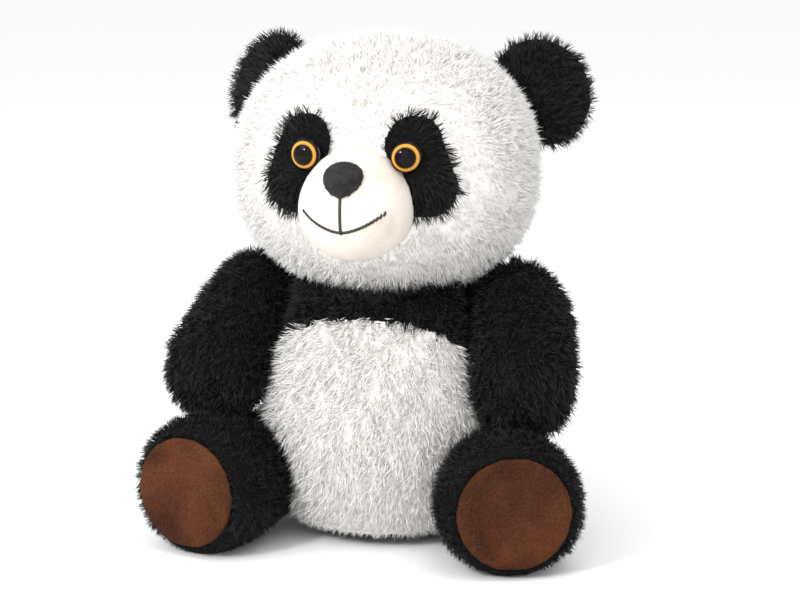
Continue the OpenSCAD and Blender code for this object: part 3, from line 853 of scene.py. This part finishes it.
innerSettings = {"bag": {"voxel": 0.002, "rounds": 3, "fill": 0.6}, "disc": {"voxel": 0.0012, "rounds": 2},
                 "neck": {"voxel": 0.0015, "rounds": 2},
                 "seam": {"voxel": 0.0018, "rounds": 2, "length": 0.5}}
plainPiece("pellet_bag", "torso", "bagCloth", innerSettings["bag"])
for number, side in enumerate(sides):
    node = side + "_hip_seam"
    seam = mergedCopy([node], node + "_form")
    evenMesh(seam, innerSettings["seam"]["voxel"])
    relax(seam, innerSettings["seam"]["rounds"])
    furPanel(seam, node, "torso", (), torsoShare, torsoComb,
             always(innerSettings["seam"]["length"]), torsoSettings["hipSeed"] + number)
    plainPiece(side + "_shoulder_disc", side + "_shoulder_disc", "blackBacking", innerSettings["disc"])
plainPiece("neck_seam", "neck_seam", "whiteBacking", innerSettings["neck"])
plainPiece("neck_ball", "neck_ball", "whiteBacking", innerSettings["neck"])
print("torso ready")


armSettings = {"voxel": 0.0035, "cap": 0.003, "rounds": 3, "shrink": 0.001, "fill": 0.9, "out": 0.006,
               "rise": 0.009, "sag": 0.012, "length": 0.85, "pawOut": 0.008, "pawIn": 0.02,
               "sweep": 0.9, "droop": 0.3, "seed": 231}
for number, (side, sign) in enumerate(sides.items()):
    names = [side + "_arm_outer_cover", side + "_arm_inner_cover"]
    low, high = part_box(side + "_arm_stuffing")
    paw = Vector(((low.x + high.x) / 2 + sign * armSettings["pawOut"], low.y + armSettings["pawIn"],
                  low.z + armSettings["pawIn"]))
    armWay = (paw - boxMiddle(side + "_arm_stuffing")).normalized()

    def fuller(point, sign=sign, low=low, high=high):
        share = fade(point.z, low.z, high.z)
        outside = fade(sign * (point.x - (low.x + high.x) / 2), -0.01, 0.02)
        bulge = math.sin(math.pi * min(share * 0.8 + 0.2, 1.0))
        return point + Vector((sign * armSettings["out"] * outside * (0.4 + bulge), 0,
                               armSettings["rise"] * share - armSettings["sag"] * (1 - share)))

    form = stuffedForm(side + "ArmForm", [side + "_arm_stuffing"], armSettings, fuller)

    def armComb(point, normal, armWay=armWay):
        return armWay * armSettings["sweep"] - up * armSettings["droop"]

    for half, (panel, node) in enumerate(zip(panelsOf(form, names), names)):
        stands = (side + "_arm_stuffing",) if half == 0 else ()
        furPanel(panel, node, side + "_arm", stands, always(1.0), armComb,
                 always(armSettings["length"]), armSettings["seed"] + 20 * number + 7 * half)


legSettings = {"voxel": 0.004, "cap": 0.003, "rounds": 3, "shrink": -0.003, "fill": 0.9, "length": 0.62,
               "padBack": -0.0024, "soleEdge": 0.0015, "soleDepth": 0.012, "rim": 0.02,
               "sweep": 0.7, "droop": 0.4, "flare": 0.3, "short": 0.35, "long": 0.65, "seed": 291}
soleSettings = {"voxel": 0.0018, "rounds": 5, "fill": 0.8}
for number, side in enumerate(sides):
    names = [side + "_leg_top_cover", side + "_leg_under_cover"]
    soleMiddle = boxMiddle(side + "_sole_pad")
    soleRadius = boxSize(side + "_sole_pad").z / 2
    legWay = (soleMiddle - jointPlace(side + "_leg_spread")).normalized()

    def soleOffset(point, soleMiddle=soleMiddle, legWay=legWay):
        # how far in front of the sole's middle a point is, and how far out from its axis
        offset = point - soleMiddle
        ahead = offset.dot(legWay)
        return ahead, offset - legWay * ahead

    def behindPad(point, legWay=legWay, soleOffset=soleOffset):
        # the stuffed end stays flat behind the sole
        return point - legWay * max(soleOffset(point)[0] - legSettings["padBack"], 0)

    form = stuffedForm(side + "LegForm", [side + "_leg_stuffing"], legSettings)
    setPoints(form, [behindPad(Vector(point)) for point in pointsOf(form)])

    def legShare(point, normal, soleRadius=soleRadius, soleOffset=soleOffset):
        ahead, out = soleOffset(point)
        if ahead > -legSettings["soleDepth"] and out.length < soleRadius - legSettings["soleEdge"]:
            return 0.0
        return fade(point.z, 0.001, 0.004)

    def legComb(point, normal, legWay=legWay, soleOffset=soleOffset):
        ahead, out = soleOffset(point)
        rim = fade(ahead, -legSettings["rim"], 0)
        return (legWay * legSettings["sweep"] - up * legSettings["droop"] * (1 - rim)
                + out.normalized() * legSettings["flare"] * rim)

    def legLength(point, normal):
        clear = fade(point.z, 0.003, 0.015)
        return legSettings["length"] * (legSettings["short"] + legSettings["long"] * clear)

    for half, (panel, node) in enumerate(zip(panelsOf(form, names), names)):
        stands = (side + "_leg_stuffing",) if half == 0 else ()
        furPanel(panel, node, side + "_leg", stands, legShare, legComb, legLength,
                 legSettings["seed"] + 20 * number + 7 * half)
    plainPiece(side + "_sole_pad", side + "_leg", "brownVelour", soleSettings)


viewSettings = {"azimuth": 13.2, "elevation": 10.5, "distance": 1.3, "target": (0, 0, 0.150), "lens": 96.3,
                "shift": (0.011, -0.03)}
work = bmesh.new()
bmesh.ops.create_grid(work, x_segments=1, y_segments=1, size=6.0)
floor = fromBmesh(work, "floor")
floorMaterial = newMaterial("paleFloor", 0.9, Base_Color=(0.95, 0.95, 0.95, 1), Specular_IOR_Level=0.1)[0]
floor.data.materials.append(floorMaterial)

world = bpy.data.worlds.new("softSky")
world.use_nodes = True
world.node_tree.nodes["Background"].inputs["Color"].default_value = (1, 1, 1, 1)
world.node_tree.nodes["Background"].inputs["Strength"].default_value = 1.0
scene.world = world
scene.view_settings.view_transform = "Standard"


def areaLight(name, place, target, size, power):
    light = bpy.data.lights.new(name, "AREA")
    light.size = size
    light.energy = power
    lamp = bpy.data.objects.new(name, light)
    scene.collection.objects.link(lamp)
    lamp.location = place
    lamp.rotation_euler = (Vector(target) - Vector(place)).to_track_quat("-Z", "Y").to_euler()


# each light's place, target, size and power
lightSettings = {"windowLeft": ((-0.9, -1.1, 1.2), (0, 0, 0.15), 0.9, 6.5),
                 "frontPanel": ((0.1, -1.9, 0.9), (0, 0, 0.15), 1.6, 6.0),
                 "skyPanel": ((0.5, -0.3, 1.5), (0, 0, 0.1), 1.2, 6.0),
                 "sparkle": ((-0.5, -1.2, 0.9), (0, -0.1, 0.23), 0.16, 9.0)}
for name, values in lightSettings.items():
    areaLight(name, *values)

camera = bpy.data.objects.new("camera", bpy.data.cameras.new("camera"))
scene.collection.objects.link(camera)
azimuth, elevation = math.radians(viewSettings["azimuth"]), math.radians(viewSettings["elevation"])
target = Vector(viewSettings["target"])
camera.location = target + viewSettings["distance"] * Vector((math.sin(azimuth) * math.cos(elevation),
                                                              -math.cos(azimuth) * math.cos(elevation),
                                                              math.sin(elevation)))
camera.rotation_euler = (target - camera.location).to_track_quat("-Z", "Y").to_euler()
camera.data.lens = viewSettings["lens"]
camera.data.shift_x, camera.data.shift_y = viewSettings["shift"]
scene.camera = camera
print("floor, lights and camera ready")
